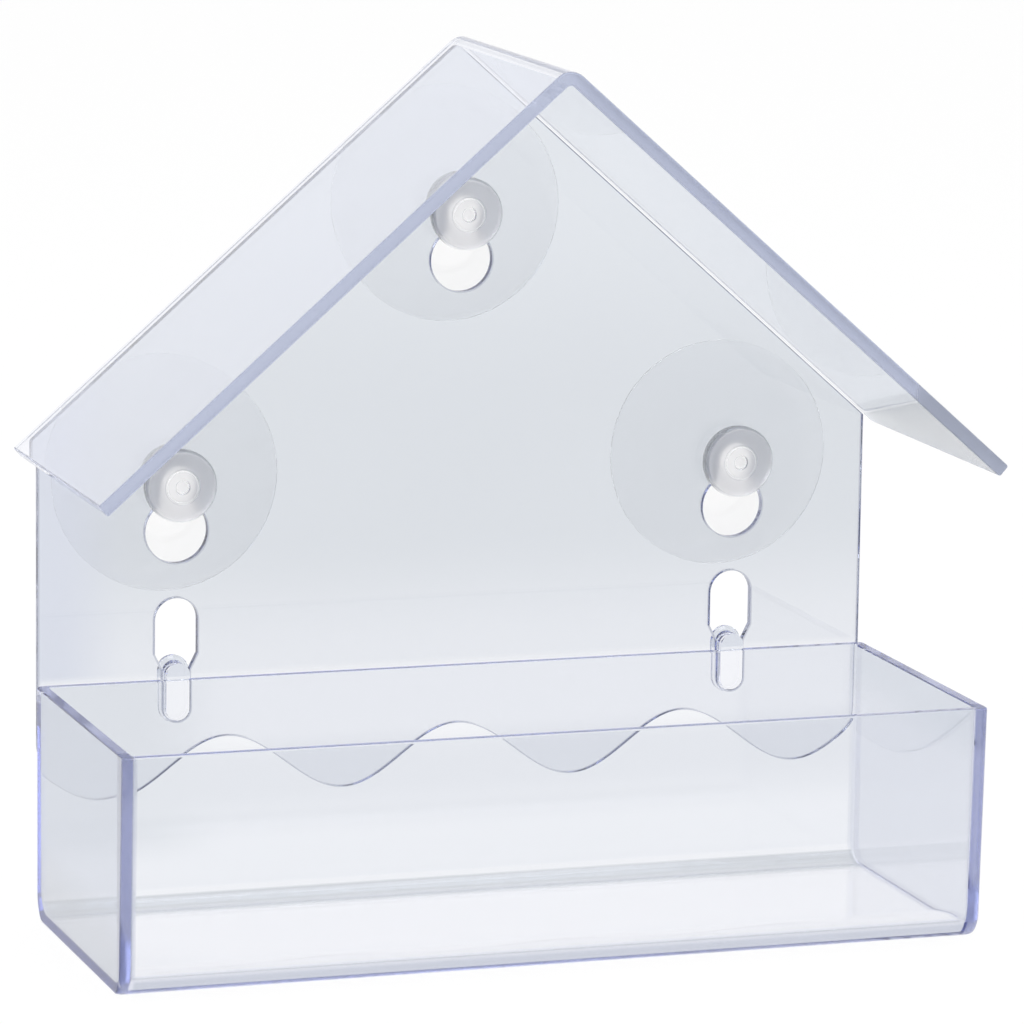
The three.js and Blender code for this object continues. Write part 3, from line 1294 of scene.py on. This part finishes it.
@dataclass
class SuctionCup:
    """One soft cup, turned about its own axis."""

    name: str
    body: Body
    stands_for: Node
    x: float
    z: float
    rim_radius: float = 0.020
    rim_thickness: float = 0.0007
    lip: float = 0.0001
    hollow: float = 0.0043
    shoulder_radius: float = 0.0046
    neck_radius: float = 0.0029
    neck_fillet: float = 0.0003
    head_radius: float = 0.0063
    head_edge: float = 0.0013
    head_thickness: float = 0.0034
    dimple_radius: float = 0.0013
    dimple_depth: float = 0.0005
    dimple_floor_share: float = 0.8
    groove_radius: float = 0.0029
    groove_width: float = 0.0005
    groove_depth: float = 0.00015
    flare_bend: float = 0.0012
    small_steps: int = 4
    dimple_steps: int = 6
    edge_steps: int = 8
    flare_steps: int = 24
    around: int = 144

    def head(self) -> list[Flat]:
        """The head's half of the section.

        Returns:
            Points as radius and depth, from the middle of its front to the neck.
        """
        back = SHEET_FRONT - CLEARANCE
        front = back - self.head_thickness
        flat = self.head_radius - self.head_edge
        floor = front + self.dimple_depth
        dimple = (self.dimple_radius * self.dimple_floor_share, floor)
        points: list[Flat] = [(0.0, floor)]
        points += bend(points[-1], dimple, (self.dimple_radius, front), self.dimple_steps)
        points.append((self.groove_radius - self.groove_width / 2, front))
        groove = (self.groove_radius, front + 2 * self.groove_depth)
        groove_end = (self.groove_radius + self.groove_width / 2, front)
        points += bend(points[-1], groove, groove_end, self.edge_steps)
        points.append((flat, front))
        turned = (self.head_radius, front + self.head_edge)
        points += bend(points[-1], (self.head_radius, front), turned, self.edge_steps)
        points.append((self.head_radius, back - self.head_edge))
        points += bend(points[-1], (self.head_radius, back), (flat, back), self.edge_steps)
        points.append((self.neck_radius + self.neck_fillet, back))
        turned = (self.neck_radius, back + self.neck_fillet)
        return points + bend(points[-1], (self.neck_radius, back), turned, self.small_steps)

    def profile(self) -> list[Flat]:
        """Half of the cup's section.

        Returns:
            Points as radius and depth, from the middle of the head to the middle of the hollow.
        """
        shoulder = SHEET_BACK + CLEARANCE
        inner = self.rim_radius - self.rim_thickness
        flare = (
            (self.rim_radius + self.shoulder_radius) / 2,
            (shoulder - self.rim_thickness) / 2 - self.flare_bend,
        )
        points = self.head()
        points += [(self.neck_radius, shoulder), (self.shoulder_radius, shoulder)]
        points += bend(points[-1], flare, (self.rim_radius, -self.rim_thickness), self.flare_steps)
        points += [(self.rim_radius, -self.lip), (self.rim_radius - self.lip, 0.0), (inner, 0.0)]
        middle = (0.0, -self.hollow)
        return points + bend(points[-1], (inner / 2, -self.hollow), middle, self.flare_steps)

    def build(self, tree: bpy.types.NodeTree, finish: bpy.types.Material) -> bpy.types.Object:
        """Builds the cup.

        Args:
            tree: the turned moulding tree.
            finish: its material.

        Returns:
            The finished piece, riding on its own body.
        """
        cup = wire_object(self.name, [self.profile()], closed=False)
        place = (self.x, 0.0, self.z)
        sizes = {"Steps Around": self.around, "Axis Place": place, "Finish": finish}
        cup = finished(grown(cup, tree, sizes))
        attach(cup, self.body.value)
        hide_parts(self.stands_for.value)
        return cup


@dataclass(frozen=True)
class SoftLamp:
    """A large soft lamp.

    Attributes:
        name: its name.
        place: where it hangs.
        size: the length of its sides.
        power: its power in watts.
    """

    name: str
    place: Place
    size: float
    power: float


@dataclass
class Studio:
    """The pale floor, the soft lamps and the camera."""

    floor_height: float = -0.0747
    sweep_front: float = 4.0
    sweep_back: float = 2.5
    sweep_bend: float = 1.0
    sweep_rise: float = 4.0
    sweep_width: float = 9.0
    sweep_steps: int = 24
    paper_grey: float = 0.9
    paper_white: float = 0.93
    room_light: float = 0.95
    lamps: tuple[SoftLamp, ...] = (
        SoftLamp("softbox_above", (0.1, -0.3, 1.1), 0.8, 6.0),
        SoftLamp("softbox_left", (-1.1, -0.6, 0.5), 0.7, 4.0),
    )
    lamp_aim: Place = (0, -0.03, 0)
    eye: Place = (-0.31745, -0.98546, 0.17957)
    look: Place = (0.31257, 0.93291, -0.17884)
    upward: Place = (0.04387, 0.17389, 0.98379)
    focal_pixels: float = 6019.85
    frame_pixels: float = 1024.0
    film_width: float = 36.0
    nearest: float = 0.01
    farthest: float = 100.0
    plastic_bounces: int = 96
    shadow_bounces: int = 48

    def sweep(self) -> None:
        """The pale floor that curves up into a backdrop."""
        z = self.floor_height
        section = [(-self.sweep_front, z), (self.sweep_back - self.sweep_bend, z)]
        corner, top = (self.sweep_back, z), (self.sweep_back, z + self.sweep_bend)
        section += bend(section[-1], corner, top, self.sweep_steps)
        section.append((self.sweep_back, z + self.sweep_rise))
        half = self.sweep_width / 2
        points = [(x, y, height) for y, height in section for x in (-half, half)]
        faces = [(2 * i, 2 * i + 1, 2 * i + 3, 2 * i + 2) for i in range(len(section) - 1)]
        made = mesh_object("studio_sweep", points, [], faces)
        shade_smooth(made.data)
        made.data.materials.append(self._paper())

    def _paper(self) -> bpy.types.Material:
        """Pale paper that the eye and the plastic see white.

        Returns:
            The material.
        """
        made, bench = blank_material("studio_paper")
        path = bench.add("ShaderNodeLightPath").outputs
        seen = bench.maths("MAXIMUM", path["Is Camera Ray"], path["Is Glossy Ray"])
        seen = bench.maths("MAXIMUM", seen, path["Is Transmission Ray"])
        pale = {"Color": opaque((self.paper_grey,) * 3)}
        either = {
            0: bench.maths("MULTIPLY", seen, self.paper_white),
            1: bench.out("ShaderNodeBsdfDiffuse", pale),
            2: bench.out("ShaderNodeEmission", {"Color": (1, 1, 1, 1), "Strength": 1}),
        }
        bench.add("ShaderNodeOutputMaterial", {0: bench.out("ShaderNodeMixShader", either)})
        return made

    def world(self) -> None:
        """The soft light of the room."""
        world = bpy.data.worlds.new("studio_room")
        bpy.context.scene.world = world
        world.use_nodes = True
        light = world.node_tree.nodes["Background"]
        light.inputs["Color"].default_value = (1, 1, 1, 1)
        light.inputs["Strength"].default_value = self.room_light

    def hang(self, lamp: SoftLamp) -> None:
        """Hangs one lamp, aimed at the feeder.

        Args:
            lamp: the lamp.
        """
        data = bpy.data.lights.new(lamp.name, "AREA")
        data.shape = "SQUARE"
        data.size = lamp.size
        data.energy = lamp.power
        made = linked(lamp.name, data)
        aim = Vector(self.lamp_aim) - Vector(lamp.place)
        made.rotation_euler = aim.to_track_quat("-Z", "Y").to_euler()
        made.visible_glossy = False
        made.location = lamp.place

    def camera(self) -> None:
        """The camera at the photograph's viewing angle."""
        data = bpy.data.cameras.new("photo_camera")
        data.sensor_width = self.film_width
        data.lens = self.focal_pixels / self.frame_pixels * self.film_width
        data.clip_start = self.nearest
        data.clip_end = self.farthest
        made = linked("photo_camera", data)
        back = -Vector(self.look).normalized()
        right = Vector(self.upward).cross(back).normalized()
        up = back.cross(right)
        turn = Matrix((right, up, back)).transposed().to_4x4()
        made.matrix_world = Matrix.Translation(self.eye) @ turn
        bpy.context.scene.camera = made

    def build(self) -> None:
        """Sets up the studio and how deep light is followed through the plastic."""
        scene = bpy.context.scene
        scene.view_settings.view_transform = "Standard"
        scene.cycles.max_bounces = self.plastic_bounces
        scene.cycles.transmission_bounces = self.plastic_bounces
        scene.cycles.glossy_bounces = self.plastic_bounces
        scene.cycles.transparent_max_bounces = self.shadow_bounces
        self.sweep()
        self.world()
        for lamp in self.lamps:
            self.hang(lamp)
        self.camera()


def report(piece: bpy.types.Object) -> None:
    """Logs a finished piece and how many faces it has."""
    LOG.info("%s: %d faces", piece.name, len(piece.data.polygons))


def main() -> None:
    """Builds the feeder sub-assembly by sub-assembly."""
    logging.basicConfig(level=logging.INFO, format="%(name)s: %(message)s")
    effects = Effects()
    waved, turned = waved_sheet_tree(), turned_tree()
    Studio().build()
    report(BackPlate().build(waved, PLATE_FINISH.material(effects)))
    report(Roof().build(ROOF_FINISH.material(effects)))
    report(SeedTray().build(TRAY_FINISH.material(effects)))
    vinyl = VINYL_FINISH.material(effects)
    cups = [
        SuctionCup("cup_top", Body.TOP_CUP, Node.CUP_TOP, 0, TOP_CUP),
        SuctionCup("cup_left", Body.LEFT_CUP, Node.CUP_LEFT, -SIDE_CUP, 0),
        SuctionCup("cup_right", Body.RIGHT_CUP, Node.CUP_RIGHT, SIDE_CUP, 0),
    ]
    for cup in cups:
        report(cup.build(turned, vinyl))


if __name__ == "__main__":
    main()
